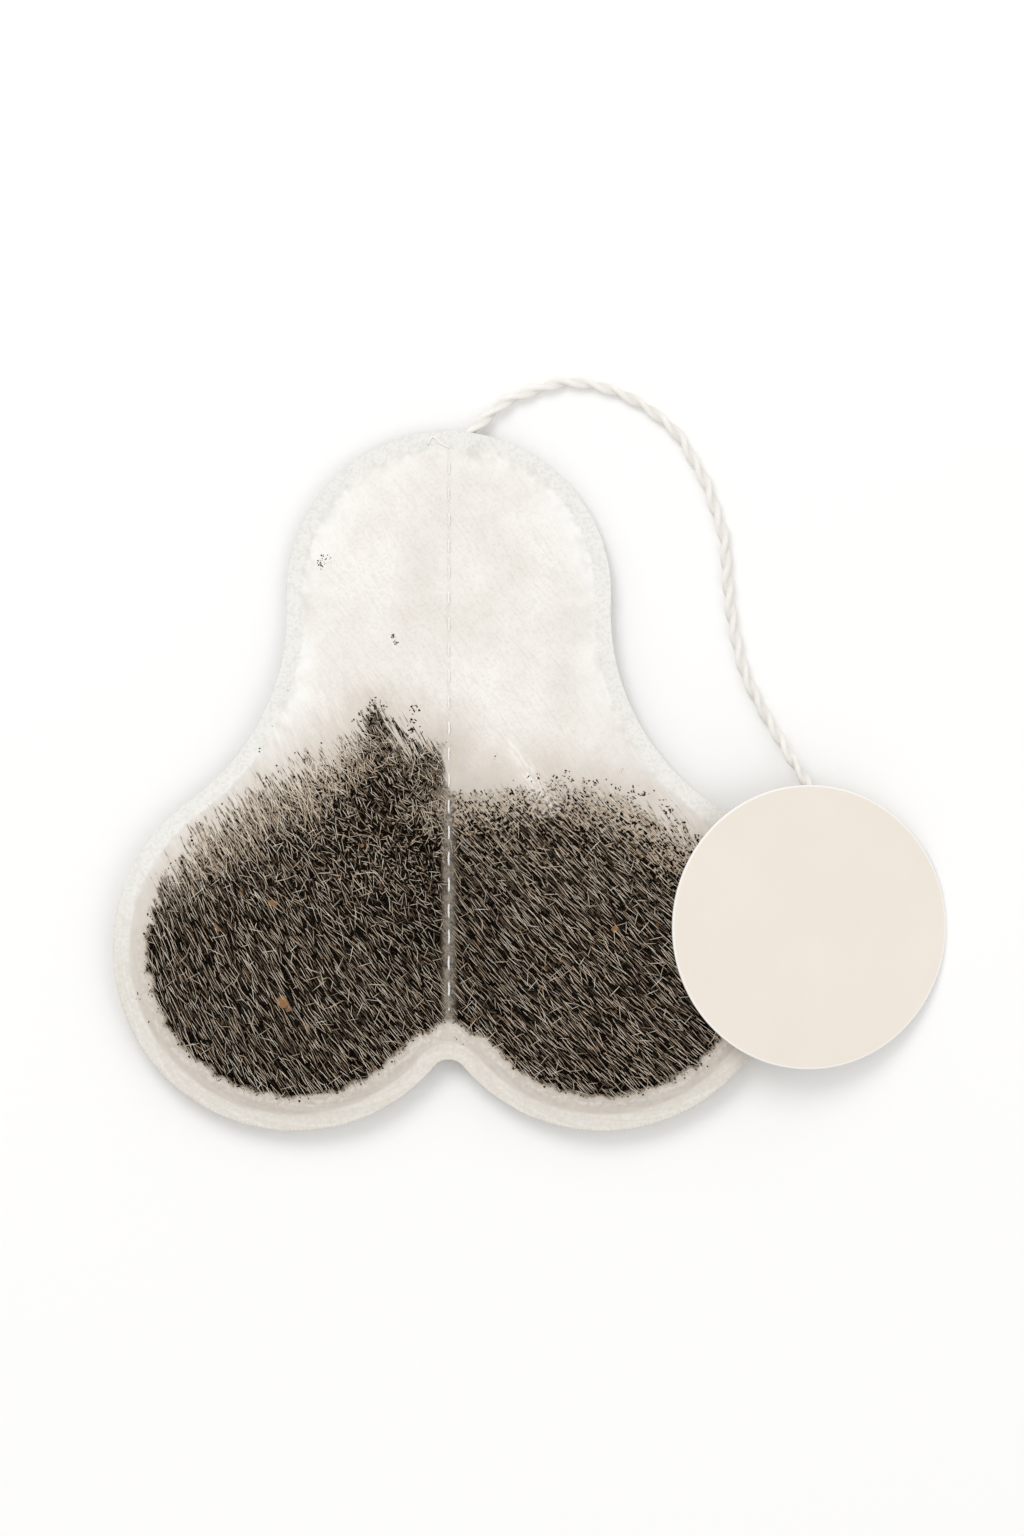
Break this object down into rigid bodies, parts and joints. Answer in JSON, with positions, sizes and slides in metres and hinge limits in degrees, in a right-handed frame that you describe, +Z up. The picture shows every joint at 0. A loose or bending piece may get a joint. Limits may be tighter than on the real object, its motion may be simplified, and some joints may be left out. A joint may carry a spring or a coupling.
{
  "type": "tea bag",
  "caption": "Flat two-chamber filter-paper tea bag with a round head, two round lobes, a sewn centre seam, a cotton string and a round card tag.",
  "frame": {"origin": "on the surface that the bag lies on, under the middle of the bag, without its string and tag", "axes": "+Y from the two lobes up to the round head, +X to the right seen from above, +Z up out of the front sheet"},
  "size_m": [0.0832, 0.0753, 0.0074],
  "materials": {
    "filter_paper": "matte, thin and translucent",
    "tea_leaf": "dry broken leaf, matte",
    "cotton": "twisted cotton, matte",
    "card": "smooth, matte"
  },
  "bodies": {
    "root": {"front_sheet": "filter_paper", "back_sheet": "filter_paper", "tea_left": "tea_leaf", "tea_right": "tea_leaf", "seam_thread": "cotton", "string": "cotton", "tag": "card"}
  },
  "joints": []
}
